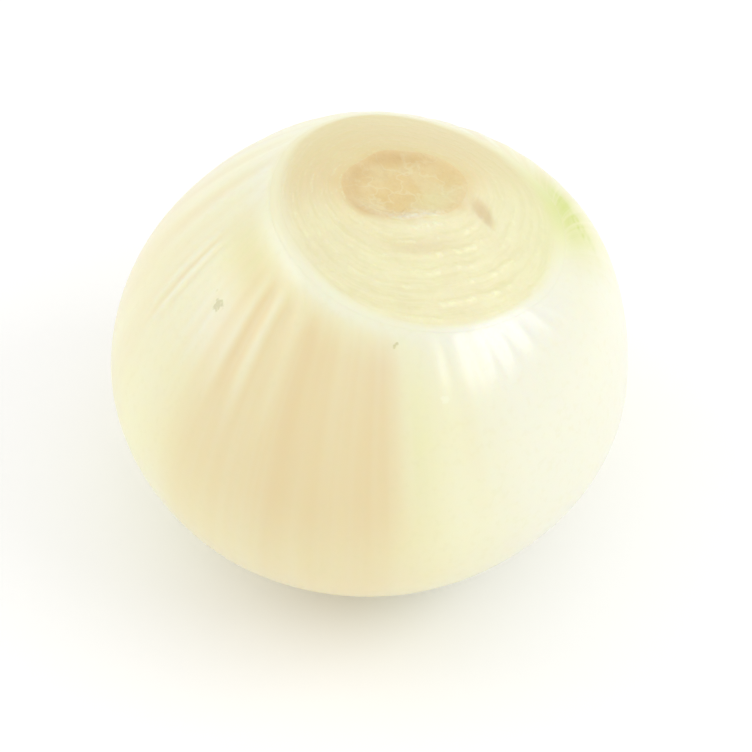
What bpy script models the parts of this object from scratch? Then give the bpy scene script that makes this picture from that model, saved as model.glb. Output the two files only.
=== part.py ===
"""A peeled onion bulb, trimmed across its layers at the root end.

The bulb stands neck down on the small flat where its neck was cut off, and
its root end faces up. It grew as one piece, so it is one solid: a turned
profile, which formulas then make lopsided, ribbed and ringed as the bulb is.

Frame: metres, +Z up, origin at the middle of the flat that it rests on.
"""
import math

import bpy
import numpy as np

# Driving sizes of the bulb, in metres, and the power of its oval
BULB_RADIUS = 0.0390
EQUATOR_HEIGHT = 0.0268
RIM_HEIGHT = 0.0542
RIM_RADIUS = 0.0212
REST_RADIUS = 0.0088
CAP_RISE = 0.0060
PLATE_HALF_WIDTH = 0.0090
PLATE_HALF_DEPTH = 0.0068
PLATE_RECESS = 0.0007
ROUNDNESS = 1.82

# How the bulb leans and how its trimmed end is set, in metres, slopes and angles
MIDDLE_OFFSET = (0.0, -0.0010)
TOP_OFFSET = (0.0070, -0.0016)
PLATE_OFFSET = (-0.0018, 0.0)
MIDDLE_SLOPE = (0.01, 0.025)
CAP_SLOPE = (-0.195, 0.01)
PLATE_TURN = math.radians(24.0)
OVALNESS = 0.035
OVAL_AZIMUTH = math.radians(99.0)

# Faces round the axis, faces down the outer side, the edge angle shaded sharp, and a
# distance that counts as none
TURN_STEPS = 144
FLANK_ROWS = 15
SHARP_ANGLE = math.radians(50.0)
TINY = 0.000001

# The cut layers: how many, where the first one starts, how high each stands, and how the
# trimmed end bows down to the rim
LAYERS_CUT = 7
FIRST_LAYER = 0.35
LAYER_STEP = 0.00028
LAYER_CREST = 0.3
CAP_BOW = 1.15

# Relief: the rim's lip, the ribs with their least strength and their fade, the broad lobes,
# the root plate's ragged edge and a torn nick beside it
RIM_LIP = 0.00030
RIM_LIP_WIDTH = 0.0012
RIB_HEIGHT = 0.00020
RIB_LEAST = 0.1
RIB_FADE = 1.5
LOBE_HEIGHT = 0.00030
PLATE_RAGGEDNESS = 0.04
NICK_AT = (0.0090, -0.0024)
NICK_TURN = math.radians(-62.0)
NICK_HALF_LENGTH = 0.0022
NICK_HALF_WIDTH = 0.0013
NICK_DEPTH = 0.0004

# Where the root plate's rows lie, as shares of its reach, and where its dish starts to rise
PLATE_SHARES = (0.0, 0.42, 0.74, 0.92, 1.0)
DISH_START = 0.62

# Where each profile row lies within one cut layer, and how high it stands there
LAYER_PHASES = (0.0, 0.28, 0.72)

# (turns round the bulb, share of the height, phase) of the waves that make the ribs
RIB_WAVES = ((17, 0.30, 0.4), (26, 0.45, 2.1), (35, 0.55, 5.2), (47, 0.40, 3.3))
LOBE_WAVES = ((3, 1.0, -0.53), (5, 0.20, 2.6), (8, 0.15, 4.4))
RAGGED_WAVES = ((3, 0.55, 0.9), (5, 0.45, 2.6), (7, 0.30, 4.4))

# Colour, roughness of each kind of surface on the bulb
MATERIALS = {
    "onion_outer_scale": ((0.90, 0.86, 0.66), 0.32),
    "onion_cut_layers": ((0.88, 0.82, 0.60), 0.55),
    "onion_root_plate": ((0.70, 0.50, 0.27), 0.80),
}
OUTER, CUT, PLATE = range(3)


def clear_scene():
    """Removes every object that the file opened with."""
    for item in list(bpy.data.objects):
        bpy.data.objects.remove(item, do_unlink=True)


def new_collection(name):
    """A collection linked to the scene."""
    collection = bpy.data.collections.new(name)
    bpy.context.scene.collection.children.link(collection)
    return collection


def make_material(name, colour, roughness):
    """A plain Principled BSDF."""
    material = bpy.data.materials.new(name)
    material.use_nodes = True
    shader = material.node_tree.nodes["Principled BSDF"]
    shader.inputs["Base Color"].default_value = (*colour, 1.0)
    shader.inputs["Roughness"].default_value = roughness
    shader.inputs["Metallic"].default_value = 0.0
    return material


def half_oval_reach(height, end_radius):
    """Height at which an oval of the bulb's radius closes, if it has end_radius at height."""
    left = 1.0 - (end_radius / BULB_RADIUS) ** ROUNDNESS
    return height / left ** (1.0 / ROUNDNESS)


def flank_profile():
    """Points of the outer side, from the rim down over the equator to the rest."""
    top = RIM_HEIGHT - EQUATOR_HEIGHT
    reach_up = half_oval_reach(top, RIM_RADIUS)
    reach_down = half_oval_reach(EQUATOR_HEIGHT, REST_RADIUS)
    points = []
    for row in range(FLANK_ROWS + 1):
        height = top * math.cos(math.pi * row / FLANK_ROWS)
        reach = reach_up
        if height < 0.0:
            height *= EQUATOR_HEIGHT / top
            reach = reach_down
        squeeze = (1.0 - (abs(height) / reach) ** ROUNDNESS) ** (1.0 / ROUNDNESS)
        points.append((BULB_RADIUS * squeeze, EQUATOR_HEIGHT + height))
    return points


def smooth_step(low, high, value):
    """Rises smoothly from 0 at low to 1 at high."""
    share = min(max((value - low) / (high - low), 0.0), 1.0)
    return share * share * (3.0 - 2.0 * share)


def layer_relief(phase):
    """Height of a cut layer's edge: a groove at phase 0, a crest, then a gentle fall."""
    if phase < LAYER_CREST:
        return math.sin(0.5 * math.pi * phase / LAYER_CREST) - 0.5
    return 0.5 - 0.6 * (phase - LAYER_CREST) / (1.0 - LAYER_CREST)


def plate_edge():
    """Mean radius of the root plate."""
    return 0.5 * (PLATE_HALF_WIDTH + PLATE_HALF_DEPTH)


def cap_profile():
    """Points of the trimmed end, from the root plate's centre out to just inside the rim."""
    top = RIM_HEIGHT + CAP_RISE
    points = []
    for share in PLATE_SHARES:
        dish = 1.0 - smooth_step(DISH_START, 1.0, share)
        points.append((share * plate_edge(), top - PLATE_RECESS * dish))
    for layer in range(LAYERS_CUT):
        for phase in LAYER_PHASES:
            share = (layer + phase + FIRST_LAYER) / (LAYERS_CUT + FIRST_LAYER)
            radius = plate_edge() + (RIM_RADIUS - plate_edge()) * share
            height = top - CAP_RISE * share ** CAP_BOW
            points.append((radius, height + LAYER_STEP * layer_relief(phase)))
    return points


def turned_bulb(collection):
    """The bulb before it grows lopsided: the half outline on a Screw modifier."""
    outline = cap_profile() + flank_profile() + [(0.0, 0.0)]
    mesh = bpy.data.meshes.new("bulb_half_outline")
    vertices = [(radius, 0.0, height) for radius, height in outline]
    edges = [(i, i + 1) for i in range(len(outline) - 1)]
    mesh.from_pydata(vertices, edges, [])
    guide = bpy.data.objects.new("bulb_half_outline", mesh)
    collection.objects.link(guide)
    turn = guide.modifiers.new("turn", "SCREW")
    turn.axis = "Z"
    turn.angle = 2.0 * math.pi
    turn.steps = TURN_STEPS
    turn.render_steps = TURN_STEPS
    turn.use_merge_vertices = True
    turn.merge_threshold = 0.00001
    guide.hide_render = True
    guide.display_type = "WIRE"
    return guide


def wave_sum(azimuth, waves):
    """Sum of waves round the bulb, about -1 to 1."""
    total = np.zeros_like(azimuth)
    for turns, share, phase in waves:
        total += share * np.cos(turns * azimuth + phase)
    return total


def rim_oval(azimuth):
    """Factor that makes the bulb's plan slightly oval."""
    return 1.0 + OVALNESS * np.cos(2.0 * (azimuth - OVAL_AZIMUTH))


def plate_outline(azimuth):
    """Distance from the root plate's centre to its edge, as a turned oval."""
    along = np.cos(azimuth - PLATE_TURN) / PLATE_HALF_WIDTH
    across = np.sin(azimuth - PLATE_TURN) / PLATE_HALF_DEPTH
    ragged = 1.0 + PLATE_RAGGEDNESS * wave_sum(azimuth, RAGGED_WAVES)
    return ragged / np.sqrt(along ** 2 + across ** 2)


def grow_lopsided(points):
    """Moves the turned points to the real bulb's uneven form, and returns them with their zones."""
    radius = np.hypot(points[:, 0], points[:, 1])
    azimuth = np.arctan2(points[:, 1], points[:, 0])
    height = points[:, 2].copy()
    rise = (height - EQUATOR_HEIGHT) / (RIM_HEIGHT - EQUATOR_HEIGHT)
    fall = np.clip(1.0 - height / EQUATOR_HEIGHT, 0.0, 1.0)
    on_cap = (radius < RIM_RADIUS - TINY) & (height > EQUATOR_HEIGHT)
    on_rest = height < TINY
    upward = np.where(on_cap, 1.0, np.clip(rise, 0.0, 1.0))

    # Round the plan: the cap blends from the plate's outline to the rim's
    share = np.clip((radius - plate_edge()) / (RIM_RADIUS - plate_edge()), 0.0, 1.0)
    inner = plate_outline(azimuth) * np.clip(radius / plate_edge(), 0.0, 1.0)
    outer = RIM_RADIUS * rim_oval(azimuth)
    cap_reach = inner + (outer - plate_outline(azimuth)) * share
    ribs = RIB_HEIGHT * wave_sum(azimuth, RIB_WAVES)
    ribs *= RIB_LEAST + (1.0 - RIB_LEAST) * upward ** RIB_FADE
    lobes = LOBE_HEIGHT * wave_sum(azimuth, LOBE_WAVES)
    flank_reach = radius * rim_oval(azimuth) + ribs + lobes * (1.0 - fall)
    reach = np.where(on_cap, cap_reach + lobes * share, flank_reach)
    reach = np.where(radius < TINY, 0.0, reach)
    x = reach * np.cos(azimuth)
    y = reach * np.sin(azimuth)

    # The root plate lies off the middle of the trimmed end
    inward = np.where(on_cap, 1.0 - share, 0.0)
    x += PLATE_OFFSET[0] * inward
    y += PLATE_OFFSET[1] * inward

    # The rim's lip stands a little proud, and the trimmed end and the widest level tilt
    lip = RIM_LIP * np.exp(-((radius - RIM_RADIUS) / RIM_LIP_WIDTH) ** 2)
    height += np.where(upward > 0.5, lip, 0.0)
    height += upward ** 4 * (CAP_SLOPE[0] * x + CAP_SLOPE[1] * y)
    middle = (1.0 - upward ** 2) * (1.0 - fall ** 2)
    height += middle * (MIDDLE_SLOPE[0] * x + MIDDLE_SLOPE[1] * y)

    # A short torn nick beside the plate
    from_x = x - NICK_AT[0]
    from_y = y - NICK_AT[1]
    along = from_x * math.cos(NICK_TURN) + from_y * math.sin(NICK_TURN)
    across = from_y * math.cos(NICK_TURN) - from_x * math.sin(NICK_TURN)
    nick = np.exp(-((along / NICK_HALF_LENGTH) ** 2 + (across / NICK_HALF_WIDTH) ** 2) ** 2)
    height -= np.where(on_cap, NICK_DEPTH * nick, 0.0)

    # The axis leans: its middle and its top stand off the rest's middle
    x += MIDDLE_OFFSET[0] * (1.0 - fall ** 2) + (TOP_OFFSET[0] - MIDDLE_OFFSET[0]) * upward ** 2
    y += MIDDLE_OFFSET[1] * (1.0 - fall ** 2) + (TOP_OFFSET[1] - MIDDLE_OFFSET[1]) * upward ** 2
    height = np.where(on_rest, 0.0, height)
    return np.column_stack((x, y, height)), on_cap, share


def build_bulb():
    """Makes the bulb object in its own collection."""
    part = new_collection("onion")
    guides = new_collection("onion_guides")
    guide = turned_bulb(guides)
    bpy.context.view_layer.update()
    evaluated = guide.evaluated_get(bpy.context.evaluated_depsgraph_get())
    mesh = bpy.data.meshes.new_from_object(evaluated)
    mesh.name = "onion_bulb"
    points = np.empty(len(mesh.vertices) * 3, dtype=np.float32)
    mesh.vertices.foreach_get("co", points)
    points = points.reshape(-1, 3).astype(float)
    moved, on_cap, share = grow_lopsided(points)
    mesh.vertices.foreach_set("co", moved.astype(np.float32).ravel())
    for name, (colour, roughness) in MATERIALS.items():
        mesh.materials.append(make_material(name, colour, roughness))
    for face in mesh.polygons:
        corners = list(face.vertices)
        if not on_cap[corners].any():
            face.material_index = OUTER
        elif share[corners].max() <= 0.0:
            face.material_index = PLATE
        else:
            face.material_index = CUT
    mesh.shade_smooth()
    mesh.set_sharp_from_angle(angle=SHARP_ANGLE)
    mesh.update()
    bulb = bpy.data.objects.new("onion_bulb", mesh)
    part.objects.link(bulb)
    return bulb


def main():
    """Clears the scene and builds the onion."""
    clear_scene()
    build_bulb()


main()
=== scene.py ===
"""A peeled onion bulb with its root end trimmed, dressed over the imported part.

Run as a script, it builds the bulb's fine surface and a plain studio. Each step is
an operator, listed in the sidebar under "Onion".
"""

import math

import bpy
import numpy as np
from bpy.props import FloatProperty, FloatVectorProperty, IntProperty, PointerProperty
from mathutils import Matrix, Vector


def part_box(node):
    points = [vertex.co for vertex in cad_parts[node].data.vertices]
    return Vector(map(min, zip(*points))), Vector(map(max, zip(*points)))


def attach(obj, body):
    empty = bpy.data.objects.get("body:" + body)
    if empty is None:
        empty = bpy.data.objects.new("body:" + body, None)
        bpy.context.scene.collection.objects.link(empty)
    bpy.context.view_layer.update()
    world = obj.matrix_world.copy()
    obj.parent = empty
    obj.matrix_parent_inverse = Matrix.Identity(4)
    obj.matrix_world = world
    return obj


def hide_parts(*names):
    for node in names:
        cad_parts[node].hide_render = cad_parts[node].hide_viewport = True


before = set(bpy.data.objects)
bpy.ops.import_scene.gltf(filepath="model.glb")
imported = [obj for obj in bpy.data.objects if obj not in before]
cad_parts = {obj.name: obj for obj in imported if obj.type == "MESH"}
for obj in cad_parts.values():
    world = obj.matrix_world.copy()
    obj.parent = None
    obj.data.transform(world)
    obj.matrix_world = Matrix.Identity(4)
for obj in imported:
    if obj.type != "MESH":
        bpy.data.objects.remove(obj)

bl_info = {
    "name": "Peeled onion",
    "version": (1, 0, 0),
    "blender": (4, 5, 0),
    "location": "View3D > Sidebar > Onion",
    "description": "Builds a peeled onion bulb with ringed cut layers, and a plain studio",
    "category": "Add Mesh",
}

NODE = "onion_bulb"
BODY = "root"
LOW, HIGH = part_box(NODE)

# Rows of points from the root plate down, points round each row, and how closely the
# outer scale's rows bunch up under the rim
PLATE_ROWS = 16
CAP_ROWS = 106
FLANK_ROWS = 58
REST_ROWS = 4
COLUMNS = 540
FLANK_BUNCHING = 1.15

# Waves round the bulb: turns, height, phase
LOBE_WAVES = ((3, 1.0, -0.53), (5, 0.20, 2.6), (8, 0.15, 4.4))
DRIFT_WAVES = ((2, 1.2, 0.7), (5, 0.9, 2.0), (9, 0.7, 4.1), (13, 0.5, 1.2))
WOBBLE_WAVES = ((2, 0.10, 1.0), (5, 0.08, 0.4), (13, 0.05, 2.2), (29, 0.03, 0.0))
PLATE_EDGE_WAVES = ((3, 0.55, 0.9), (5, 0.45, 2.6), (7, 0.30, 4.4))
PLATE_LIP_WAVES = ((9, 0.05, 0.0), (17, 0.03, 1.0))
CORK_WAVES = ((7, 0.04, 0.0), (16, 0.03, 2.0))
SKIN_WAVES = ((11, 0.02, 0.0), (23, 0.015, 1.0))

# Waves that break a layer's edge into arcs: turns, height, shift from layer to layer
ARC_WAVES = ((5, 1.0, 2.4), (13, 0.7, -4.1), (31, 0.7, 3.3), (53, 0.6, -1.7))

# Groups of ribs: azimuth and spread in degrees, strength, first and last share of the way
# down, ribs that would go round the bulb, phase, and how unevenly they are spaced
BROAD_RIBS = (
    (-143.0, 13.0, 1.0, 0.12, 0.29, 40, 1.60, 0.3),
    (70.0, 45.0, 0.6, 0.05, 0.30, 34, 0.40, 0.4),
    (146.0, 22.0, 0.5, 0.06, 0.30, 27, 2.10, 0.4),
)
FRONT_RIBS = ((-60.0, 30.0, 0.85, 0.03, 0.22, 43, 1.00, 0.8),)
FINE_RIBS = (
    (-184.0, 5.0, 0.70, 0.18, 0.31, 70, 2.04, 2.0),
    (-166.0, 9.0, 0.18, 0.17, 0.33, 92, 0.27, 2.0),
    (-60.0, 30.0, 0.12, 0.05, 0.20, 92, 0.27, 2.0),
)

# Patches of relief or colour: strength, azimuth and spread in degrees, place and spread
# along the rows of their zone, from 0 to 1, or past 1 outside the root plate
PLATE_LIP = ((1.0, -80.0, 45.0, 0.93, 0.05),)
PLATE_TEAR = ((0.4, -110.0, 50.0, 0.72, 0.06),)
PLATE_BROWN = ((0.5, -130.0, 26.0, 0.98, 0.07), (0.15, -8.0, 24.0, 1.02, 0.12))
# The pale torn lip is partly a painted highlight on its lit near edge.
PLATE_PALE_AND_HIGHLIGHT = ((0.85, -72.0, 38.0, 0.96, 0.05), (0.35, -80.0, 42.0, 0.80, 0.09))
PLATE_OLIVE = ((0.6, -25.0, 40.0, 0.55, 0.3),)
CAP_BROWN = ((0.22, -85.0, 28.0, 0.27, 0.06),)
CAP_PALE = ((0.2, -68.0, 38.0, 0.08, 0.09),)
# Painted shade: a tan patch on the left shoulder.
FLANK_SHOULDER_SHADE = ((0.22, -180.0, 30.0, 0.30, 0.15),)
STEM_TAN = ((0.55, -167.0, 14.0, 0.13, 0.05), (0.15, -85.0, 3.5, 0.32, 0.16))
# Painted highlights: pale patches on the left shoulder where reflections of the left box and the
# white surroundings fall.
FLANK_LEFT_HIGHLIGHT_PAINT = ((0.5, 165.0, 18.0, 0.08, 0.06), (0.6, -150.0, 12.0, 0.24, 0.06))
# Painted highlight: a whitish patch where the key box's highlight falls.
FLANK_KEY_HIGHLIGHT_PAINT = ((0.58, -58.0, 36.0, 0.07, 0.12),)
FLANK_WET = (
    (0.42, -58.0, 44.0, 0.08, 0.16), (0.5, -142.5, 7.0, 0.05, 0.035),
    (0.4, -125.0, 8.0, 0.07, 0.03), (0.5, 165.0, 20.0, 0.06, 0.06),
)
FLANK_GREEN = (
    (0.9, 18.0, 20.0, 0.08, 0.13), (0.55, 23.0, 5.0, 0.12, 0.03), (0.26, -159.0, 14.0, 0.13, 0.05),
)
STEM_GREEN = ((0.13, -97.0, 3.5, 0.28, 0.16),)
GREEN_VEINS = ((0.8, 0.0, 1.6, 0.145, 0.022), (0.4, 7.0, 2.2, 0.17, 0.05))

# Bands of colour: strength, azimuth and spread in degrees, where along the rows they
# start and where they are full
# Painted highlight: pale bands that carry the rim's highlight inside its edge.
CAP_RIM_HIGHLIGHT_BANDS = (
    (0.35, -130.0, 50.0, 0.86, 1.0), (0.35, 175.0, 38.0, 0.62, 1.0), (0.3, -40.0, 30.0, 0.9, 1.0),
)
# Painted highlight: a pale band along the rounded rim on the left.
FLANK_RIM_HIGHLIGHT_BANDS = ((0.65, -125.0, 45.0, 0.12, 0.03),)
# Painted shade under the rim at the back right, and a band that darkens the front towards the
# bottom.
FLANK_TAN_AND_SHADE_BANDS = ((0.3, 40.0, 32.0, 0.30, 0.08), (0.22, -85.0, 26.0, 0.44, 0.56))

# Brown rings round the root plate: strength, place and spread along the rows, the azimuth
# that they face, and the cosines of the angle from it where they start and are full
BROWN_RINGS = ((0.34, 0.83, 0.15, 135.0, -0.3, 0.8), (0.19, 1.4, 0.6, 120.0, -0.6, 0.8))

# Placings of the streak group: streaks round the bulb, length, seed, low and high limits
BROAD_STREAKS = (5.0, 0.6, 3.0, 0.42, 0.66)
BAND_STREAKS = (8.0, 0.9, 4.0, 0.34, 0.66)
VEIN_STREAKS = (22.0, 1.2, 8.0, 0.45, 0.70)
ARC_STREAKS = (2.5, 3.2, 5.0, 0.48, 0.62)
DASH_STREAKS = (24.0, 5.0, 2.0, 0.46, 0.58)

# Placings of the mottling group: patches to the metre, detail, low and high limits
SCALE_CLOUD = (70.0, 4.0, 0.35, 0.68)
SCALE_SPECKS = (900.0, 3.0, 0.50, 0.72)
LAYER_CLOUD = (160.0, 5.0, 0.42, 0.62)
LAYER_GRAIN = (900.0, 4.0, 0.40, 0.65)
PLATE_CLOUD = (260.0, 6.0, 0.38, 0.62)
PLATE_GRAIN = (1100.0, 4.0, 0.45, 0.62)
PLATE_PATCHES = (170.0, 2.0, 0.42, 0.58)
PLATE_FOLDS = (240.0, 3.0, 0.40, 0.60)

# Small marks on the outer scale: place, radius, colour, strength
MARKS = (
    ((-0.0204, -0.0142, 0.0496), 0.0011, (0.55, 0.52, 0.27), 0.62),
    ((0.0038, -0.0254, 0.0530), 0.0005, (0.54, 0.50, 0.22), 0.6),
    ((0.0104, -0.0302, 0.0475), 0.0007, (0.88, 0.88, 0.68), 0.5),
    ((-0.0208, -0.0120, 0.0505), 0.0004, (0.65, 0.60, 0.36), 0.5),
)

# Light boxes: name, azimuth and elevation seen from the bulb, width, height, watts
STUDIO_BOXES = (
    ("key_box", math.radians(-14.0), math.radians(42.0), 0.56, 0.19, 1.02),
    ("left_box", math.radians(165.0), math.radians(29.0), 0.44, 0.40, 0.66),
)
BOX_DISTANCE = 0.70
WORLD_STRENGTH = 0.93
FLOOR_HALF = 3.0
FLOOR_COLOUR = (0.98, 0.98, 0.98, 1.0)

# Camera: elevation, distance, lens and sensor in millimetres, and where it aims, to the
# right of the bulb's middle and below it
CAMERA_ELEVATION = math.radians(45.0)
CAMERA_DISTANCE = 0.400
CAMERA_LENS = 130.8
SENSOR_WIDTH = 36.0
AIM_RIGHT = 0.00122
AIM_BELOW = 0.00356


# ---- properties


class OnionSizes(bpy.types.PropertyGroup):
    """Sizes of the bulb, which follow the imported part."""

    bulb_radius: FloatProperty(
        name="Bulb radius", description="Greatest radius of the bulb",
        default=0.0390, unit="LENGTH")
    equator_height: FloatProperty(
        name="Equator height", description="Height of the widest level",
        default=0.0268, unit="LENGTH")
    rim_height: FloatProperty(
        name="Rim height", description="Height of the trimmed end's rim",
        default=0.0542, unit="LENGTH")
    rim_radius: FloatProperty(
        name="Rim radius", description="Radius of the trimmed end",
        default=0.0212, unit="LENGTH")
    rest_radius: FloatProperty(
        name="Rest radius", description="Radius of the flat under the bulb",
        default=0.0088, unit="LENGTH")
    cap_rise: FloatProperty(
        name="Cap rise", description="Height of the trimmed end's dome over its rim",
        default=0.0060, unit="LENGTH")
    plate_half_width: FloatProperty(
        name="Root plate half width", description="Half the root plate's long way",
        default=0.0090, unit="LENGTH")
    plate_half_depth: FloatProperty(
        name="Root plate half depth", description="Half the root plate's short way",
        default=0.0068, unit="LENGTH")
    plate_recess: FloatProperty(
        name="Root plate recess", description="Depth of the root plate under its edge",
        default=0.0007, unit="LENGTH")
    layers_cut: IntProperty(
        name="Layers cut", description="Rings of scales that the trimming cut across",
        default=7, min=3, max=14)
    layer_step: FloatProperty(
        name="Layer step", description="Height of each cut layer's edge",
        default=0.00011, unit="LENGTH")
    rib_height: FloatProperty(
        name="Rib height", description="Height of the ribs down the outer scale",
        default=0.00018, unit="LENGTH")


class OnionColours(bpy.types.PropertyGroup):
    """Colours of the bulb's surfaces."""

    flesh: FloatVectorProperty(
        name="Flesh", description="Colour of the outer scale",
        default=(0.845, 0.825, 0.53), subtype="COLOR", min=0.0, max=1.0)
    # Also laid as painted highlights: on rib crests, along the rim, in patches on the left, on the
    # right side and on the root plate's lip.
    pale: FloatVectorProperty(
        name="Pale flesh", description="Lightest flesh, on ribs and rims",
        default=(0.825, 0.822, 0.685), subtype="COLOR", min=0.0, max=1.0)
    # Painted highlight: laid where the key box's highlight falls on the shoulder.
    painted_highlight: FloatVectorProperty(
        name="Milky film", description="Whitish film on the wet shoulder",
        default=(0.77, 0.785, 0.77), subtype="COLOR", min=0.0, max=1.0)
    # Tan, partly of the scale below and partly painted shade: at the front left, on the left
    # shoulder, under the rim at the back right and in the rib valleys.
    tan: FloatVectorProperty(
        name="Tan flesh", description="Tan where the scale below shows through",
        default=(0.785, 0.645, 0.365), subtype="COLOR", min=0.0, max=1.0)
    green: FloatVectorProperty(
        name="Green veins", description="Green of the sprouting veins",
        default=(0.62, 0.68, 0.19), subtype="COLOR", min=0.0, max=1.0)
    cut: FloatVectorProperty(
        name="Cut layers", description="Colour of the scales' cut edges",
        default=(0.81, 0.762, 0.497), subtype="COLOR", min=0.0, max=1.0)
    # Laid along the grooves between the cut layers, this is partly their olive and partly painted
    # shade.
    groove: FloatVectorProperty(
        name="Layer grooves", description="Colour between the cut layers",
        default=(0.72, 0.675, 0.36), subtype="COLOR", min=0.0, max=1.0)
    plate: FloatVectorProperty(
        name="Root plate", description="Tan of the root plate",
        default=(0.725, 0.56, 0.265), subtype="COLOR", min=0.0, max=1.0)
    brown: FloatVectorProperty(
        name="Brown edge", description="Brown round the root plate",
        default=(0.58, 0.38, 0.17), subtype="COLOR", min=0.0, max=1.0)


# ---- surface maths


def wave_sum(azimuth, waves):
    """Sum of height * cos(turns * azimuth + phase) over the waves."""
    total = np.zeros_like(azimuth)
    for turns, height, phase in waves:
        total = total + height * np.cos(turns * azimuth + phase)
    return total


def smooth_step(low, high, value):
    """0 before low, 1 past high, and the cubic 3t^2 - 2t^3 between."""
    t = np.clip((value - low) / (high - low), 0.0, 1.0)
    return t * t * (3.0 - 2.0 * t)


def swell(value, middle, spread):
    """exp(-((value - middle) / spread)^2), 1 at the middle."""
    return np.exp(-(((value - middle) / spread) ** 2))


def turn_swell(azimuth, middle, spread):
    """The same swell of an azimuth round the bulb, with middle and spread in degrees."""
    away = np.angle(np.exp(1j * (azimuth - math.radians(middle))))
    return swell(away, 0.0, math.radians(spread))


def turn_sum(azimuth, base, *swells):
    """base + the sum of height * swell of the azimuth, for each height, middle and spread."""
    total = base
    for height, middle, spread in swells:
        total = total + height * turn_swell(azimuth, middle, spread)
    return total


def patches(azimuth, share, table):
    """Sum of strength * swell of the azimuth * swell of the place along the rows."""
    total = 0.0
    for strength, middle, spread, place, length in table:
        total = total + strength * turn_swell(azimuth, middle, spread) * swell(share, place, length)
    return total


def bands(azimuth, share, table):
    """Sum of strength * swell of the azimuth * smooth step of the place along the rows."""
    total = 0.0
    for strength, middle, spread, start, full in table:
        step = smooth_step(start, full, share)
        total = total + strength * turn_swell(azimuth, middle, spread) * step
    return total


def blend(low, high, share):
    """low + share * (high - low)."""
    return low + share * (high - low)


def facing(azimuth, towards):
    """Cosine of the angle between the azimuth and a direction in degrees."""
    return np.cos(azimuth - math.radians(towards))


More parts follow.
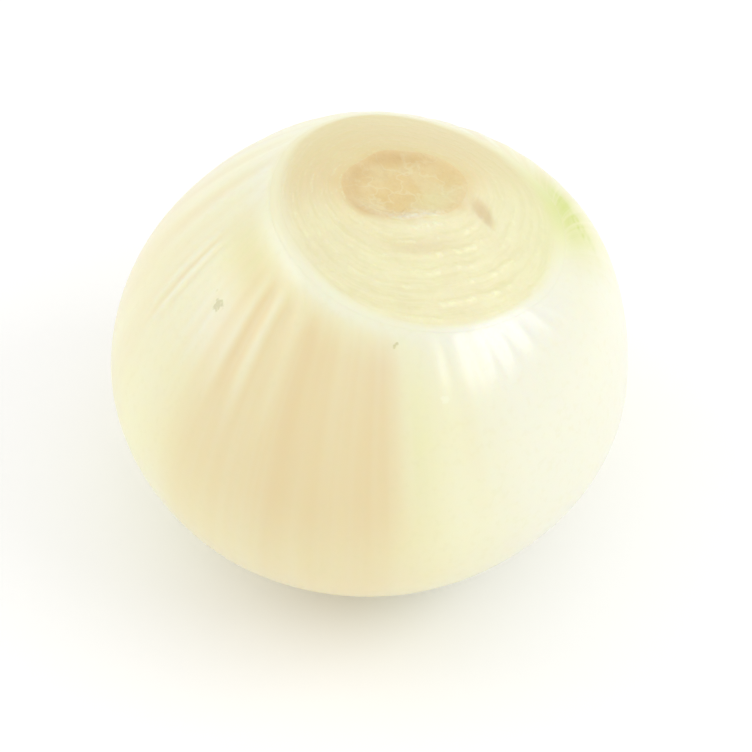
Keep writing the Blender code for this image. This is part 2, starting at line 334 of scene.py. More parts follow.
class BulbForm:
    """The bulb as formulas of azimuth and of a place along its outline."""

    # Oval outline and plan
    roundness = 1.82
    ovalness = 0.035
    oval_azimuth = math.radians(99.0)
    lobe_height = 0.00030
    # Slopes of the trimmed end and of the widest level, and how far the axis leans
    cap_slope = (-0.195, 0.01)
    middle_slope = (0.01, 0.025)
    middle_offset = (0.0, -0.0010)
    top_offset = (0.0070, -0.0016)
    # Root plate
    plate_offset = (-0.0018, 0.0)
    plate_turn = math.radians(24.0)
    plate_raggedness = 0.04
    plate_lip_height = 0.0005
    dish_edge = 0.62
    lump_height = 0.00012
    # Cut layers
    cap_bow = 1.15
    first_layer = 0.35
    crest_at = 0.30
    crest_width = 0.15
    groove_width = 0.16
    membrane_width = 0.13
    membrane_share = 0.7
    membrane_turn = 1.7
    # Nick beside the plate
    nick_at = (0.0160, -0.0040)
    nick_turn = math.radians(-62.0)
    nick_half_length = 0.0022
    nick_half_width = 0.0013
    nick_taper = 0.35
    nick_depth = 0.0003
    # Rim and ribs
    rim_lip_height = 0.00030
    rim_lip_width = 0.0012
    rim_rounds = 50
    twist = 0.32
    rib_start = 0.03
    rib_end = 0.06
    # Strengths round the bulb: a base, then swells by height, azimuth and spread in degrees
    ring_strength = (0.14, (0.16, -70.0, 70.0))
    arc_strength = (0.25, (0.75, -62.0, 50.0))
    lip_strength = (0.2, (0.8, -145.0, 55.0))
    rim_spread = (4.0, (6.0, 40.0, 80.0))
    skin_width = (0.06, (0.22, -170.0, 45.0), (0.22, 25.0, 55.0))

    def __init__(self, sizes):
        """Keeps the sizes, and the root plate's mean reach."""
        self.s = sizes
        self.plate_reach = 0.5 * (sizes.plate_half_width + sizes.plate_half_depth)

    def oval(self, azimuth):
        """1 + ovalness * cos(2 * (azimuth - oval azimuth)): the plan is slightly oval."""
        return 1.0 + self.ovalness * np.cos(2.0 * (azimuth - self.oval_azimuth))

    def plate_outline(self, azimuth):
        """Reach of a turned oval, 1 / sqrt(along^2 + across^2), made ragged by waves."""
        turned = azimuth - self.plate_turn
        along = np.cos(turned) / self.s.plate_half_width
        across = np.sin(turned) / self.s.plate_half_depth
        ragged = 1.0 + self.plate_raggedness * wave_sum(azimuth, PLATE_EDGE_WAVES)
        return ragged / np.sqrt(along ** 2 + across ** 2)

    def layer_place(self, share, azimuth):
        """Cut layers counted out from the plate: share * layers, plus a wobble between the ends."""
        inside = np.sin(math.pi * np.clip(share, 0.0, 1.0))
        layers = share * (self.s.layers_cut + self.first_layer) - self.first_layer
        return layers + wave_sum(azimuth, WOBBLE_WAVES) * inside

    def arcs(self, place, azimuth):
        """Smooth step of a sum of waves that shift by layer: 1 where an edge stands clear."""
        layer = np.floor(place)
        swing = 0.0
        for turns, height, shift in ARC_WAVES:
            swing = swing + height * np.cos(turns * azimuth + shift * layer)
        return smooth_step(-0.3, 1.4, swing) * turn_sum(azimuth, *self.arc_strength)

    def edge(self, place, azimuth):
        """A swell at each layer's crest, and a lower one on the membrane halfway to the next."""
        outer = swell(place - np.floor(place), self.crest_at, self.crest_width)
        between = place + 0.5
        inner = swell(between - np.floor(between), self.crest_at, self.membrane_width)
        inner = inner * self.arcs(between, azimuth + self.membrane_turn)
        return outer * self.arcs(place, azimuth) + self.membrane_share * inner

    def groove(self, place):
        """A swell at each whole count of layers: 1 along the groove between two of them."""
        phase = place - np.floor(place)
        return swell(phase, 0.0, self.groove_width) + swell(phase, 1.0, self.groove_width)

    def layer_relief(self, place, azimuth):
        """The edges, plus a fainter crest less half a groove on every layer all the way round."""
        base = swell(place - np.floor(place), self.crest_at, self.crest_width)
        base = base - 0.5 * self.groove(place)
        return turn_sum(azimuth, *self.ring_strength) * base + self.edge(place, azimuth)

    def nick(self, x, y):
        """exp(-(along^2 + across^2)^2) in a long narrow oval that tapers to one end."""
        along_x, along_y = math.cos(self.nick_turn), math.sin(self.nick_turn)
        from_x, from_y = x - self.nick_at[0], y - self.nick_at[1]
        along = (from_x * along_x + from_y * along_y) / self.nick_half_length
        across = (from_y * along_x - from_x * along_y) / self.nick_half_width
        across = across / (1.0 - self.nick_taper * np.clip(along, -1.0, 1.0))
        return np.exp(-(along ** 2 + across ** 2) ** 2)

    def stem(self, azimuth, share):
        """Azimuth at the rim of the rib that passes here: azimuth - twist * sin(pi * share)."""
        return azimuth - self.twist * np.sin(math.pi * share)

    def ribs(self, stem, share, groups):
        """Sum over the groups of strength * sin(ribs round * stem + drift), here and there only."""
        drift = wave_sum(stem, DRIFT_WAVES)
        total = 0.0
        for middle, spread, strength, first, last, count, phase, uneven in groups:
            length = smooth_step(first - self.rib_start, first + self.rib_start, share)
            length = length * (1.0 - smooth_step(last - self.rib_end, last + self.rib_end, share))
            wave = np.sin(count * stem + uneven * drift + phase)
            total = total + strength * wave * turn_swell(stem, middle, spread) * length
        return total

    def rib_relief(self, azimuth, share):
        """Height of all the groups of ribs together, which lie only under the rim."""
        groups = BROAD_RIBS + FRONT_RIBS + FINE_RIBS
        return self.s.rib_height * self.ribs(self.stem(azimuth, share), share, groups)

    def rim_lip(self, azimuth, gap):
        """Height * swell of the gap to the rim, highest on the near left, fading to the right."""
        strength = turn_sum(azimuth, *self.lip_strength)
        return self.rim_lip_height * strength * swell(gap, 0.0, self.rim_lip_width)

    def skin(self, azimuth, share):
        """How far the outer scale laps over the trimmed end: a smooth step up to 1 at the rim."""
        inwards = (1.0 - share) / turn_sum(azimuth, *self.skin_width)
        return smooth_step(0.0, 1.0, 1.0 - inwards + wave_sum(azimuth, SKIN_WAVES) * inwards)

    def round_rim(self, rows, rim_row, azimuth):
        """Draws the rows near the rim halfway to the mean of their neighbours, many times over."""
        count = np.arange(len(rows))[:, None]
        weight = 0.5 * swell(count, rim_row, turn_sum(azimuth, *self.rim_spread))[1:-1]
        for _ in range(self.rim_rounds):
            middle = 0.5 * (rows[:-2] + rows[2:])
            rows[1:-1] = rows[1:-1] + weight * (middle - rows[1:-1])
        return rows

    def settle(self, x, y, height, upward, fall):
        """Tilts the trimmed end and the widest level, and leans the axis by a square law.

        upward runs from 0 at the widest level to 1 at the rim, and fall from 0 there to 1
        at the rest.
        """
        middle = (1.0 - upward ** 2) * (1.0 - fall ** 2)
        height = height + upward ** 4 * (self.cap_slope[0] * x + self.cap_slope[1] * y)
        height = height + middle * (self.middle_slope[0] * x + self.middle_slope[1] * y)
        moved = []
        for place, middle_at, top_at in zip((x, y), self.middle_offset, self.top_offset):
            lean = middle_at * (1.0 - fall ** 2) + (top_at - middle_at) * upward ** 2
            moved.append(place + lean)
        return *moved, height

    def plate_rows(self, share, azimuth):
        """The root plate, from its middle (0) to its edge (1): a shallow dish.

        Its floor is level and rises by a smooth step to its edge. A torn lip and a tear
        stand on it at the front, and two waves that turn as share grows make low lumps.
        """
        reach = self.plate_outline(azimuth) * share
        dish = 1.0 - smooth_step(self.dish_edge, 1.0, share)
        torn = wave_sum(azimuth, PLATE_LIP_WAVES)
        lip = patches(azimuth, share + torn, PLATE_LIP)
        tear = patches(azimuth, share + 2.0 * torn, PLATE_TEAR)
        lumps = np.cos(3.0 * azimuth + 5.0 * share) + np.cos(5.0 * azimuth - 9.0 * share + 1.0)
        height = self.s.rim_height + self.s.cap_rise - self.s.plate_recess * dish
        height = height + self.plate_lip_height * (lip + tear)
        height = height + self.lump_height * lumps * share * dish
        x = reach * np.cos(azimuth) + self.plate_offset[0]
        y = reach * np.sin(azimuth) + self.plate_offset[1]
        return self.settle(x, y, height, 1.0, 0.0)

    def cap_rows(self, share, azimuth):
        """The trimmed end, from the plate (0) to the rim (1): a low dome with layer steps.

        Its outlines are blended from the plate's to the rim's. Its height is
        rim + rise * (1 - share^bow), plus the layers and the lip, less the nick.
        """
        lobes = self.lobe_height * wave_sum(azimuth, LOBE_WAVES)
        inner = self.plate_outline(azimuth)
        reach = inner + (self.s.rim_radius * self.oval(azimuth) - inner + lobes) * share
        place = self.layer_place(share, azimuth)
        steps = self.layer_relief(place, azimuth) * smooth_step(0.0, 0.10, share)
        height = self.s.rim_height + self.s.cap_rise * (1.0 - share ** self.cap_bow)
        height = height + self.s.layer_step * steps * (1.0 - smooth_step(0.96, 1.0, share))
        gap = (1.0 - share) * (self.s.rim_radius - self.plate_reach)
        height = height + self.rim_lip(azimuth, gap)
        x = reach * np.cos(azimuth) + self.plate_offset[0] * (1.0 - share)
        y = reach * np.sin(azimuth) + self.plate_offset[1] * (1.0 - share)
        nick = self.nick(x + self.top_offset[0], y + self.top_offset[1])
        return self.settle(x, y, height - self.nick_depth * nick, 1.0, 0.0)

    def flank_rows(self, share, azimuth):
        """The outer scale from the rim (0) to the rest (1): two half ovals, ribbed and lobed.

        With r the roundness, radius = greatest * (1 - |level / closing|^r)^(1 / r).
        """
        top = self.s.rim_height - self.s.equator_height
        low = self.s.equator_height
        swing = np.cos(math.pi * share)
        level = np.where(swing > 0.0, swing * top, swing * low)
        reach_up = self.closing(top, self.s.rim_radius)
        reach_down = self.closing(low, self.s.rest_radius)
        reach = np.where(level > 0.0, reach_up, reach_down)
        squeeze = np.clip(1.0 - (np.abs(level) / reach) ** self.roundness, 0.0, 1.0)
        radius = self.s.bulb_radius * squeeze ** (1.0 / self.roundness)
        upward = np.clip(level / top, 0.0, 1.0)
        fall = np.clip(-level / low, 0.0, 1.0)
        lobes = self.lobe_height * wave_sum(azimuth, LOBE_WAVES) * (1.0 - fall)
        out = radius * self.oval(azimuth) + self.rib_relief(azimuth, share) + lobes
        lip = self.rim_lip(azimuth, radius - self.s.rim_radius) * (upward > 0.5)
        x = out * np.cos(azimuth)
        y = out * np.sin(azimuth)
        return self.settle(x, y, low + level + lip, upward, fall)

    def rest_rows(self, share, azimuth):
        """The flat under the bulb, from its edge (1) to its middle (0): share * its outline."""
        outline = self.s.rest_radius * self.oval(azimuth) + self.rib_relief(azimuth, 1.0)
        reach = share * outline
        return reach * np.cos(azimuth), reach * np.sin(azimuth), np.zeros_like(reach)

    def closing(self, height, end_radius):
        """Height at which the half oval closes: height / (1 - (end / greatest)^r)^(1 / r)."""
        left = 1.0 - (end_radius / self.s.bulb_radius) ** self.roundness
        return height / left ** (1.0 / self.roundness)


# ---- colour masks


def polar(turn, depth):
    """(cos, sin) of the azimuth and a depth, so that noise on it has no seam."""
    depth = np.broadcast_to(depth, turn.shape)
    return np.stack((np.cos(turn), np.sin(turn), depth), axis=-1)


def in_degrees(stem):
    """The azimuth in degrees, brought between -180 and 180."""
    return np.degrees(np.angle(np.exp(1j * stem)))


def plate_cork(azimuth, reach):
    """Cork of the root plate: 1 less a smooth step, short at the lip in front, long behind."""
    spread = 0.12 + 0.40 * smooth_step(-0.8, 0.5, facing(azimuth, 110.0))
    wander = wave_sum(azimuth, CORK_WAVES)
    return 1.0 - smooth_step(0.98 - 0.7 * spread, 0.98 + spread, reach + wander)


def plate_brown(azimuth, reach):
    """Brown rings round the plate's far left edge, and patches under the lip and at the right.

    A ring is strength * swell of the reach * smooth step of the cosine to its azimuth.
    """
    total = patches(azimuth, reach, PLATE_BROWN)
    for strength, place, spread, towards, start, full in BROWN_RINGS:
        turned = smooth_step(start, full, facing(azimuth, towards))
        total = total + strength * swell(reach, place, spread) * turned
    return total


def cap_brown(azimuth, share, nick):
    """Brown outside the plate, in the nick, and in a faint patch at the front."""
    outside = plate_brown(azimuth, 1.0 + 0.9 * share)
    return np.clip(outside + patches(azimuth, share, CAP_BROWN) + 0.45 * nick, 0.0, 1.0)


def cap_tan(azimuth, share):
    """Tan of the trimmed end: smooth steps, deepest on its far side and close to the plate."""
    far = smooth_step(-0.35, 0.6, facing(azimuth, 105.0)) * (1.0 - 0.25 * share)
    near = (1.0 - smooth_step(0.0, 0.5, share)) * (0.45 - 0.30 * facing(azimuth, -65.0))
    return np.clip(far + near, 0.0, 1.0)


def cap_green(azimuth, share):
    """An olive far side, and a green on the right that grows by share^1.5 to the rim."""
    far = 0.13 * smooth_step(-0.2, 0.8, facing(azimuth, 100.0))
    return far + 0.3 * turn_swell(azimuth, 8.0, 38.0) * share ** 1.5


def cap_pale_and_highlight(azimuth, share):
    """Pale bands inside the rim, which carry the rim's painted highlight onto the cut end, a patch
    under the lip, and a rise in step with share at right.
    """
    right = 0.2 * share * turn_swell(azimuth, 0.0, 40.0)
    return bands(azimuth, share, CAP_RIM_HIGHLIGHT_BANDS) + patches(azimuth, share, CAP_PALE) + right


def flank_tan_and_shade(azimuth, stem, share):
    """Tan, partly of the scale below and partly painted shade at the front left, by smooth steps: a
    sharp edge on one side, a slow fade on the other.

    Patches, bands and a soft zone at the back are added to it. The patch on the left shoulder and
    the band under the rim at the back right are painted shade, and the other band darkens the front
    towards the bottom.
    """
    degrees = in_degrees(stem)
    sharp = 0.65 - 0.35 * smooth_step(0.28, 0.5, share)
    right = sharp * smooth_step(-98.5, -106.0, degrees)
    right = right + (1.0 - sharp) * smooth_step(-86.0, -110.0, degrees)
    left = smooth_step(-178.0, -134.0, degrees)
    body = smooth_step(0.04, 0.17, share) * (1.0 - 0.4 * smooth_step(0.38, 0.52, share))
    back = smooth_step(0.12, 0.36, share) * smooth_step(0.8, 0.5, share)
    tan = right * left * body + 0.6 * turn_swell(stem, 112.0, 32.0) * back
    tan = tan + patches(stem, share, STEM_TAN) + patches(azimuth, share, FLANK_SHOULDER_SHADE)
    return tan + bands(azimuth, share, FLANK_TAN_AND_SHADE_BANDS)


def flank_pale_and_highlight(azimuth, stem, share):
    """The rim band and patches on the left, which are painted highlights, and the whitish right
    between two smooth steps, partly paler flesh and partly painted sheen.
    """
    degrees = in_degrees(stem)
    right = smooth_step(-98.0, -66.0, degrees) * (1.0 - smooth_step(-24.0, 4.0, degrees))
    right = right * (0.60 + 0.30 * smooth_step(0.05, 0.3, share))
    left = bands(azimuth, share, FLANK_RIM_HIGHLIGHT_BANDS) + patches(azimuth, share, FLANK_LEFT_HIGHLIGHT_PAINT)
    return left + right


def flank_green(azimuth, stem, share):
    """Green patches under the rim, and two veins whose course turns as they run down."""
    course = azimuth - np.radians(15.0 - 220.0 * (share - 0.13))
    green = patches(azimuth, share, FLANK_GREEN) + patches(stem, share, STEM_GREEN)
    return np.clip(green + patches(course, share, GREEN_VEINS), 0.0, 1.0)


# ---- mesh and nodes


def closed_rows_mesh(name, x, y, z):
    """Closed mesh from rows of points round an axis, each row joined to the next by quads.

    The first and the last row are single points, joined to their neighbours by triangles.
    """
    rows, columns = x.shape
    points = np.stack((x, y, z), axis=-1)
    vertices = per_vertex(points)
    ring = np.arange(columns)
    after = np.roll(ring, -1)
    starts = 1 + columns * np.arange(rows - 3)[:, None]
    quads = np.stack((starts + ring, starts + columns + ring,
                      starts + columns + after, starts + after), axis=-1).reshape(-1, 4)
    last = len(vertices) - 1
    base = 1 + columns * (rows - 3)
    top = np.stack((np.zeros(columns, int), 1 + ring, 1 + after), axis=-1)
    bottom = np.stack((base + ring, np.full(columns, last), base + after), axis=-1)
    mesh = bpy.data.meshes.new(name)
    mesh.vertices.add(len(vertices))
    mesh.vertices.foreach_set("co", vertices.astype(np.float32).ravel())
    loops = np.concatenate((top.ravel(), quads.ravel(), bottom.ravel()))
    sizes = np.repeat((3, 4, 3), (len(top), len(quads), len(bottom)))
    mesh.loops.add(len(loops))
    mesh.loops.foreach_set("vertex_index", loops.astype(np.int32))
    mesh.polygons.add(len(sizes))
    mesh.polygons.foreach_set("loop_start", (np.cumsum(sizes) - sizes).astype(np.int32))
    mesh.update(calc_edges=True)
    mesh.validate()
    mesh.shade_smooth()
    return mesh


def per_vertex(values):
    """Row values laid out as vertices: one of the first row, all between, one of the last."""
    flat = values[1:-1].reshape(-1, *values.shape[2:])
    return np.concatenate((values[0, :1], flat, values[-1, :1]))


def add_attribute(mesh, name, values):
    """A point attribute that the materials read, of numbers or of vectors."""
    kind, key = ("FLOAT", "value") if values.ndim == 1 else ("FLOAT_VECTOR", "vector")
    layer = mesh.attributes.new(name, kind, "POINT")
    layer.data.foreach_set(key, np.ascontiguousarray(values, dtype=np.float32).ravel())


def four(colour):
    """A colour as four numbers. A socket stays as it is."""
    return colour if isinstance(colour, bpy.types.NodeSocket) else (*colour[:], 1.0)


class Nodes:
    """Short calls that add nodes and links to one node tree."""

    def __init__(self, tree):
        """Keeps the tree."""
        self.tree = tree

    def add(self, kind, inputs=None, **settings):
        """A node with its settings and its inputs, each a value or another node's output."""
        node = self.tree.nodes.new(kind)
        for key, value in settings.items():
            setattr(node, key, value)
        for key, value in (inputs or {}).items():
            self.feed(node.inputs[key], value)
        return node

    def feed(self, socket, value):
        """Links an output to the socket, or sets the socket's value."""
        if isinstance(value, bpy.types.NodeSocket):
            self.tree.links.new(value, socket)
        else:
            socket.default_value = value

    def math(self, operation, a, b=0.0):
        """Output of a Math node."""
        return self.add("ShaderNodeMath", {0: a, 1: b}, operation=operation).outputs[0]

    def times(self, a, b):
        """a * b."""
        return self.math("MULTIPLY", a, b)

    def ramp(self, value, low, high, to_low=0.0, to_high=1.0):
        """Smooth step of the value from low to high, which gives to_low up to to_high."""
        node = self.add("ShaderNodeMapRange", {
            "Value": value, "From Min": low, "From Max": high, "To Min": to_low, "To Max": to_high,
        }, interpolation_type="SMOOTHSTEP")
        return node.outputs["Result"]

    def lay(self, colour, *layers):
        """Lays tones over the colour in turn: colour + share * mask * (tone - colour).

        A layer is a tone, its mask and, where it isn't 1, its share.
        """
        for tone, mask, *share in layers:
            factor = self.times(mask, *share) if share else mask
            inputs = {"Factor": factor, 6: four(colour), 7: four(tone)}
            colour = self.add("ShaderNodeMix", inputs, data_type="RGBA").outputs[2]
        return colour

    def mask(self, name):
        """Value of the bulb's point attribute."""
        return self.add("ShaderNodeAttribute", attribute_name=name).outputs["Fac"]

    def place(self, group, values):
        """Outputs of a placed group node, whose inputs take the values in order."""
        node = self.add("ShaderNodeGroup", node_tree=group)
        for socket, value in zip(node.inputs, values):
            socket.default_value = value
        return node.outputs


def new_group(name, inputs):
    """A shader node group with number inputs, and the outputs Mask and Height."""
    tree = bpy.data.node_groups.new(name, "ShaderNodeTree")
    for socket, value in inputs.items():
        item = tree.interface.new_socket(socket, in_out="INPUT", socket_type="NodeSocketFloat")
        item.default_value = value
    for socket in ("Mask", "Height"):
        tree.interface.new_socket(socket, in_out="OUTPUT", socket_type="NodeSocketFloat")
    nodes = Nodes(tree)
    return nodes, nodes.add("NodeGroupInput").outputs


def end_group(g, source, noise):
    """Puts out the noise as Height, and its smooth step from Low to High as Mask."""
    height = noise.outputs["Fac"]
    mask = g.ramp(height, source["Low"], source["High"])
    g.add("NodeGroupOutput", {"Mask": mask, "Height": height})
    return g.tree


def streak_group():
    """Streaks that run down the scales: noise on (cos, sin) of the azimuth, stretched downwards."""
    inputs = {"Streaks": 8.0, "Length": 0.6, "Seed": 0.0, "Low": 0.4, "High": 0.6}
    g, source = new_group("Scale streaks", inputs)
    place = g.add("ShaderNodeAttribute", attribute_name="meridian").outputs["Vector"]
    stretch = g.add("ShaderNodeCombineXYZ", {
        "X": source["Streaks"], "Y": source["Streaks"], "Z": source["Length"]})
    scaled = g.add("ShaderNodeVectorMath", {0: place, 1: stretch.outputs[0]}, operation="MULTIPLY")
    noise = g.add("ShaderNodeTexNoise", {
        "Vector": scaled.outputs[0], "W": source["Seed"], "Scale": 1.0, "Detail": 2.0,
        "Roughness": 0.5}, noise_dimensions="4D")
    return end_group(g, source, noise)


def mottle_group():
    """Cloudy patches through the flesh: noise on the object's own coordinates."""
    inputs = {"Size": 120.0, "Detail": 4.0, "Low": 0.4, "High": 0.6}
    g, source = new_group("Flesh mottling", inputs)
    place = g.add("ShaderNodeTexCoord").outputs["Object"]
    noise = g.add("ShaderNodeTexNoise", {
        "Vector": place, "Scale": source["Size"], "Detail": source["Detail"]})
    return end_group(g, source, noise)


# ---- materials


def new_material(name):
    """A material and its Nodes and Principled shader."""
    material = bpy.data.materials.new(name)
    material.use_nodes = True
    tree = material.node_tree
    return material, Nodes(tree), tree.nodes["Principled BSDF"]


def set_surface(n, shader, colour, roughness, bump):
    """Feeds a colour, a roughness and a bump (height, strength, distance) to the shader."""
    height, strength, distance = bump
    raised = n.add("ShaderNodeBump", {
        "Strength": strength, "Distance": distance, "Height": height})
    n.feed(shader.inputs["Base Color"], colour)
    n.feed(shader.inputs["Roughness"], roughness)
    n.feed(shader.inputs["Normal"], raised.outputs["Normal"])


def moist_film(n, shader):
    """A wet film where the wet mask says, with its constant values set on the shader."""
    n.feed(shader.inputs["Coat Weight"], n.mask("wet"))
    shader.inputs["Coat Roughness"].default_value = 0.20
    shader.inputs["Coat IOR"].default_value = 1.65


def moist_flesh(shader, scatter, radius_scale):
    """Sets the constant values of translucent, moist flesh on the shader."""
    shader.inputs["Subsurface Weight"].default_value = scatter
    shader.inputs["Subsurface Radius"].default_value = (1.0, 0.75, 0.35)
    shader.inputs["Subsurface Scale"].default_value = radius_scale
    shader.inputs["IOR"].default_value = 1.40


def marked(n, colour):
    """The colour with the small marks laid over it: within a reach that noise makes ragged."""
    place = n.add("ShaderNodeTexCoord").outputs["Object"]
    rough = n.add("ShaderNodeTexNoise", {"Vector": place, "Scale": 1500.0, "Detail": 2.0})
    uneven = n.math("SUBTRACT", rough.outputs["Fac"], 0.5)
    for middle, radius, tone, strength in MARKS:
        away = n.add("ShaderNodeVectorMath", {0: place, 1: middle}, operation="DISTANCE")
        reach = n.math("ADD", away.outputs["Value"], n.times(uneven, 2.0 * radius))
        colour = n.lay(colour, (tone, n.ramp(reach, 0.5 * radius, radius, strength, 0.0)))
    return colour


def outer_scale_material(colours, streaks, mottling):
    """The outer scale: pale flesh with painted highlights, a tan partly of the scale below and
    partly painted shade, fine veins, a painted highlight under the key box, a silky gloss.
    """
    material, n, shader = new_material("onion_outer_scale")
    broad, band = n.place(streaks, BROAD_STREAKS), n.place(streaks, BAND_STREAKS)
    veins = n.place(streaks, VEIN_STREAKS)
    cloud, speck = n.place(mottling, SCALE_CLOUD), n.place(mottling, SCALE_SPECKS)
    tan = n.times(n.mask("tan"), n.ramp(broad["Height"], 0.3, 0.62, 0.8, 1.0))
    tan = n.times(tan, n.ramp(band["Mask"], 0.0, 1.0, 0.85, 1.02))
    green = n.times(n.mask("green"), n.ramp(veins["Height"], 0.25, 0.6, 0.5, 1.0))
    colour = n.lay(
        colours.flesh,
        (colours.pale, cloud["Mask"], 0.25),
        (colours.tan, broad["Mask"], 0.16),
        # Mostly painted highlights: the rim band, patches on the left, the whitish right and the
        # rib crests.
        (colours.pale, n.mask("pale")),
        # Tan partly of the scale below and partly painted shade, with painted shade in the rib
        # valleys.
        (colours.tan, tan),
        (colours.pale, veins["Mask"], 0.07),
        (colours.groove, speck["Mask"], 0.12),
        (colours.green, green),
        # Painted highlight under the key box.
        (colours.painted_highlight, n.mask("painted_highlight")))
    roughness = n.ramp(veins["Height"], 0.3, 0.7, 0.28, 0.36)
    height = n.math("ADD", cloud["Height"], n.times(broad["Height"], 1.5))
    set_surface(n, shader, marked(n, colour), roughness, (height, 0.3, 0.0004))
    moist_film(n, shader)
    moist_flesh(shader, 0.45, 0.004)
    return material


def cut_layers_material(colours, streaks, mottling):
    """The cut scale edges: crests lightened as painted glints, and grooves darkened olive, partly
    their own tone and partly painted shade, in broken arcs, as the relief has them.
    """
    material, n, shader = new_material("onion_cut_layers")
    arcs, dashes = n.place(streaks, ARC_STREAKS), n.place(streaks, DASH_STREAKS)
    cloud, grain = n.place(mottling, LAYER_CLOUD), n.place(mottling, LAYER_GRAIN)
    skin = n.mask("skin")
    # Painted glints: the flesh colour laid on the crests in short dashes.
    painted_glint = n.times(n.mask("crest"), n.ramp(dashes["Mask"], 0.0, 1.0, 0.25, 1.0))
    brown = n.times(n.mask("brown"), n.ramp(cloud["Height"], 0.2, 0.5, 0.5, 1.0))
    colour = n.lay(
        colours.cut,
        (colours.flesh, cloud["Mask"], 0.42),
        (colours.tan, n.mask("tan"), 0.9),
        (colours.plate, n.mask("cork"), 0.8),
        # Darker along each groove between the layers: partly their olive, partly painted shade.
        (colours.groove, n.mask("groove"), 0.3),
        (colours.groove, arcs["Mask"], 0.28),
        (colours.groove, grain["Mask"], 0.14),
        (colours.flesh, painted_glint),
        (colours.flesh, skin),
        # Pale bands inside the rim: the rim's painted highlight carried onto the cut end.
        (colours.pale, n.mask("pale")),
        (colours.green, n.mask("green")),
        (colours.brown, brown),
        # Painted highlight where the skin laps over, as on the outer scale.
        (colours.painted_highlight, n.mask("painted_highlight")))
    roughness = n.ramp(n.math("MAXIMUM", painted_glint, skin), 0.0, 1.0, 0.5, 0.32)
    height = n.times(grain["Height"], n.ramp(skin, 0.0, 1.0, 1.0, 0.0))
    set_surface(n, shader, colour, roughness, (height, 0.35, 0.0003))
    moist_film(n, shader)
    moist_flesh(shader, 0.45, 0.004)
    return material


def root_plate_material(colours, mottling):
    """The corky root plate: tan, brown in a crescent, a pale torn lip, partly a painted highlight
    on its lit near edge, and an olive tint.
    """
    material, n, shader = new_material("onion_root_plate")
    cloud, grain = n.place(mottling, PLATE_CLOUD), n.place(mottling, PLATE_GRAIN)
    patch, fold = n.place(mottling, PLATE_PATCHES), n.place(mottling, PLATE_FOLDS)
    crease = n.math("ABSOLUTE", n.math("SUBTRACT", fold["Height"], 0.5))
    brown = n.times(n.mask("brown"), n.ramp(cloud["Height"], 0.2, 0.5, 0.5, 1.0))
    # The pale torn lip, partly a painted highlight on its lit near edge.
    pale = n.times(n.mask("pale"), n.ramp(grain["Height"], 0.3, 0.55, 0.3, 1.0))
    cork = n.lay(
        colours.plate,
        (colours.tan, cloud["Mask"], 0.35),
        (colours.cut, patch["Mask"], 0.30),
        (colours.brown, grain["Mask"], 0.07),
        (colours.cut, n.ramp(crease, 0.0, 0.030, 0.30, 0.0)))
    colour = n.lay(
        colours.tan,
        (cork, n.mask("cork")),
        (colours.groove, n.mask("green")),
        (colours.brown, brown),
        (colours.pale, pale))
    roughness = n.ramp(cloud["Height"], 0.3, 0.7, 0.5, 0.8)
    height = n.math("ADD", grain["Height"], n.times(cloud["Height"], 3.0))
    set_surface(n, shader, colour, roughness, (height, 0.6, 0.0004))
    moist_flesh(shader, 0.20, 0.002)
    return material


# ---- operators


def add_object(scene, name, data):
    """A new object in the scene."""
    thing = bpy.data.objects.new(name, data)
    scene.collection.objects.link(thing)
    return thing


def place_object(thing, place, axis, towards):
    """Puts the object at the place, with its axis turned along a direction."""
    thing.location = place
    thing.rotation_mode = "QUATERNION"
    thing.rotation_quaternion = towards.to_track_quat(axis, "Y")


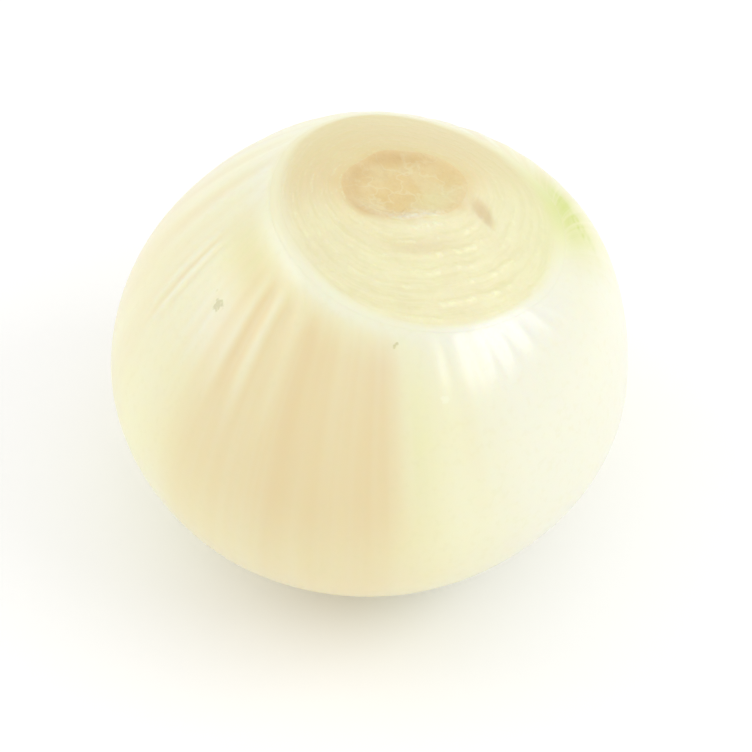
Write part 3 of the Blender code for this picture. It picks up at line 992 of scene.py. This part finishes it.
class ONION_OT_add_bulb(bpy.types.Operator):
    """Add the bulb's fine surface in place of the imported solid"""

    bl_idname = "onion.add_bulb"
    bl_label = "Add bulb"

    def execute(self, context):
        """Builds the rows from the root plate down to the rest and closes them."""
        form = BulbForm(context.scene.onion_sizes)
        azimuth = np.linspace(0.0, 2.0 * math.pi, COLUMNS, endpoint=False)[None, :]
        plate = np.linspace(0.0, 1.0, PLATE_ROWS + 1)[:, None]
        cap = np.linspace(0.0, 1.0, CAP_ROWS + 1)[1:, None]
        flank = np.linspace(0.0, 1.0, FLANK_ROWS + 1)[1:, None] ** FLANK_BUNCHING
        rest = np.linspace(1.0, 0.0, REST_ROWS + 1)[1:, None]
        parts = (form.plate_rows(plate, azimuth), form.cap_rows(cap, azimuth),
                 form.flank_rows(flank, azimuth), form.rest_rows(rest, azimuth))
        stacked = [np.vstack([part[axis] for part in parts]) for axis in range(3)]
        rim_row = PLATE_ROWS + CAP_ROWS
        x, y, z = (form.round_rim(rows, rim_row, azimuth) for rows in stacked)
        mesh = closed_rows_mesh("onion_flesh_surface", x, y, z)
        self.add_patterns(mesh, form, azimuth, (plate, cap, flank, rest), x, y)
        self.add_materials(mesh, context.scene.onion_colours)
        piece = add_object(context.scene, "onion_flesh_surface", mesh)
        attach(piece, BODY)
        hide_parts(NODE)
        return {"FINISHED"}

    def add_patterns(self, mesh, form, azimuth, rows, x, y):
        """Point attributes that lay the patterns along the scales and round the layers.

        Each has a part for the root plate, the trimmed end, the outer scale and the rest.
        Where the skin laps over the trimmed end, that part blends into the outer scale's
        first row. The depths of meridian keep the streaks of the four parts apart.
        """
        plate, cap, flank, rest = rows
        turns = [np.repeat(azimuth, len(part), axis=0) for part in rows]
        stem = form.stem(azimuth, flank)
        place = form.layer_place(cap, azimuth)
        skin = form.skin(azimuth, cap)
        top = slice(len(plate), len(plate) + len(cap))
        nick = form.nick(x[top], y[top])
        broad = form.ribs(stem, flank, BROAD_RIBS)
        fine = form.ribs(stem, flank, FINE_RIBS)
        # Tan, partly of the scale below and partly painted shade.
        tan = flank_tan_and_shade(azimuth, stem, flank)
        # Painted shade in the rib valleys.
        tan = tan - 0.5 * np.clip(broad, -0.5, 1.0) - 0.4 * np.clip(fine, -0.5, 1.0)
        # Mostly painted highlights: the rim band, patches on the left and the whitish right.
        pale = flank_pale_and_highlight(azimuth, stem, flank)
        # Painted highlights on the rib crests.
        pale = pale + 0.4 * np.clip(broad, 0.0, 1.0) + 0.5 * np.clip(fine, 0.0, 1.0)
        # Painted highlight where the key box's highlight falls.
        painted_highlight = patches(azimuth, flank, FLANK_KEY_HIGHLIGHT_PAINT)
        wet = 0.25 + patches(azimuth, flank, FLANK_WET) + 0.7 * np.clip(fine, 0.0, 1.0)
        green = flank_green(azimuth, stem, flank)
        # Where painted glints go along the layers' edges.
        edge = form.edge(place, azimuth) * (1.0 - skin)
        # Darker along the grooves: partly their olive, partly painted shade.
        groove = form.groove(place) * (0.2 + form.arcs(place, azimuth))
        patterns = {
            "skin": (0.0, skin, 0.0, 0.0),
            "crest": (0.0, edge, 0.0, 0.0),
            "groove": (0.0, groove, 0.0, 0.3),
            "tan": (
                0.0, blend(cap_tan(azimuth, cap), tan[:1], skin), np.clip(tan, 0.0, 1.0), 0.4),
            "painted_highlight": (0.0, blend(0.0, painted_highlight[:1], skin), painted_highlight, 0.0),
            "cork": (plate_cork(azimuth, plate), plate_cork(azimuth, 1.0 + 1.6 * cap), 0.0, 0.0),
            "brown": (plate_brown(azimuth, plate), cap_brown(azimuth, cap, nick), 0.0, 0.0),
            "pale": (
                patches(azimuth, plate, PLATE_PALE_AND_HIGHLIGHT),
                blend(cap_pale_and_highlight(azimuth, cap), pale[:1], skin), np.clip(pale, 0.0, 1.0), 0.0),
            "wet": (0.2, blend(0.25, wet[:1], skin), wet, 0.2),
            "green": (
                patches(azimuth, plate, PLATE_OLIVE),
                blend(cap_green(azimuth, cap), green[:1], skin), green, 0.0),
        }
        meridian = (polar(turns[0], plate + 20.0), polar(turns[1], place + 22.0),
                    polar(stem, flank), polar(turns[3], 3.0 * rest + 40.0))
        add_attribute(mesh, "meridian", per_vertex(np.concatenate(meridian)))
        for name, parts in patterns.items():
            parts = [np.broadcast_to(part, turn.shape) for part, turn in zip(parts, turns)]
            add_attribute(mesh, name, per_vertex(np.concatenate(parts)))

    def add_materials(self, mesh, colours):
        """Outer scale, cut layers and root plate, by the row that each face starts from."""
        streaks, mottling = streak_group(), mottle_group()
        mesh.materials.append(outer_scale_material(colours, streaks, mottling))
        mesh.materials.append(cut_layers_material(colours, streaks, mottling))
        mesh.materials.append(root_plate_material(colours, mottling))
        row = np.arange(len(mesh.polygons)) // COLUMNS
        ends = np.cumsum((PLATE_ROWS, CAP_ROWS, FLANK_ROWS))
        index = np.array((2, 1, 0, 1))[np.searchsorted(ends, row, side="right")]
        mesh.polygons.foreach_set("material_index", index.astype(np.int32))


class ONION_OT_add_stage(bpy.types.Operator):
    """Add the pale floor, the soft lights and the camera"""

    bl_idname = "onion.add_stage"
    bl_label = "Add stage"

    def execute(self, context):
        """Builds the studio round the bulb."""
        scene = context.scene
        self.add_floor(scene)
        self.add_world(scene)
        self.add_lights(scene)
        self.add_camera(scene)
        scene.view_settings.view_transform = "Standard"
        return {"FINISHED"}

    def add_floor(self, scene):
        """A wide plain square under the rest."""
        half = FLOOR_HALF
        mesh = bpy.data.meshes.new("floor")
        corners = [(-half, -half, 0.0), (half, -half, 0.0), (half, half, 0.0), (-half, half, 0.0)]
        mesh.from_pydata(corners, [], [(0, 1, 2, 3)])
        material, _, shader = new_material("pale_floor")
        shader.inputs["Base Color"].default_value = FLOOR_COLOUR
        shader.inputs["Roughness"].default_value = 0.9
        shader.inputs["Specular IOR Level"].default_value = 0.1
        mesh.materials.append(material)
        floor = add_object(scene, "floor", mesh)

    def add_world(self, scene):
        """Even white light from all round."""
        world = bpy.data.worlds.new("studio_light")
        world.use_nodes = True
        background = world.node_tree.nodes["Background"]
        background.inputs["Color"].default_value = (1.0, 1.0, 1.0, 1.0)
        background.inputs["Strength"].default_value = WORLD_STRENGTH
        scene.world = world

    def add_lights(self, scene):
        """A key box at the right and a softer one at the left, each turned to the bulb's middle."""
        middle = Vector((0.0, 0.0, 0.5 * (LOW.z + HIGH.z)))
        for name, turn, rise, width, height, power in STUDIO_BOXES:
            flat = math.cos(rise)
            away = Vector((flat * math.cos(turn), flat * math.sin(turn), math.sin(rise)))
            light = bpy.data.lights.new(name, "AREA")
            light.shape = "RECTANGLE"
            light.size, light.size_y, light.energy = width, height, power
            lamp = add_object(scene, name, light)
            place_object(lamp, middle + BOX_DISTANCE * away, "Z", away)

    def add_camera(self, scene):
        """A long lens from the front, looking down on the trimmed end."""
        flat, rise = math.cos(CAMERA_ELEVATION), math.sin(CAMERA_ELEVATION)
        equator = Vector((0.0, 0.0, scene.onion_sizes.equator_height))
        ahead = Vector((0.0, flat, -rise))
        above = Vector((0.0, rise, flat))
        aim = equator + Vector((AIM_RIGHT, 0.0, 0.0)) - AIM_BELOW * above
        data = bpy.data.cameras.new("camera")
        data.lens, data.sensor_width = CAMERA_LENS, SENSOR_WIDTH
        scene.camera = add_object(scene, "camera", data)
        place_object(scene.camera, aim - CAMERA_DISTANCE * ahead, "-Z", ahead)


class ONION_PT_sidebar(bpy.types.Panel):
    """The onion's sizes, colours and steps"""

    bl_idname = "ONION_PT_sidebar"
    bl_label = "Onion"
    bl_space_type = "VIEW_3D"
    bl_region_type = "UI"
    bl_category = "Onion"

    def draw(self, context):
        """Lists every property and operator."""
        layout = self.layout
        for group in (context.scene.onion_sizes, context.scene.onion_colours):
            for name in group.__annotations__:
                layout.prop(group, name)
        for operator in OPERATORS:
            layout.operator(operator.bl_idname)


OPERATORS = (ONION_OT_add_bulb, ONION_OT_add_stage)
CLASSES = (OnionSizes, OnionColours, *OPERATORS, ONION_PT_sidebar)


def register():
    """Registers the classes and hangs the property groups on the scene."""
    for item in CLASSES:
        bpy.utils.register_class(item)
    bpy.types.Scene.onion_sizes = PointerProperty(type=OnionSizes)
    bpy.types.Scene.onion_colours = PointerProperty(type=OnionColours)


def unregister():
    """Takes the property groups and classes away again."""
    del bpy.types.Scene.onion_colours
    del bpy.types.Scene.onion_sizes
    for item in reversed(CLASSES):
        bpy.utils.unregister_class(item)


def main():
    """Builds everything in order."""
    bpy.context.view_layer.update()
    register()
    bpy.ops.onion.add_bulb()
    bpy.ops.onion.add_stage()


if __name__ == "__main__":
    main()
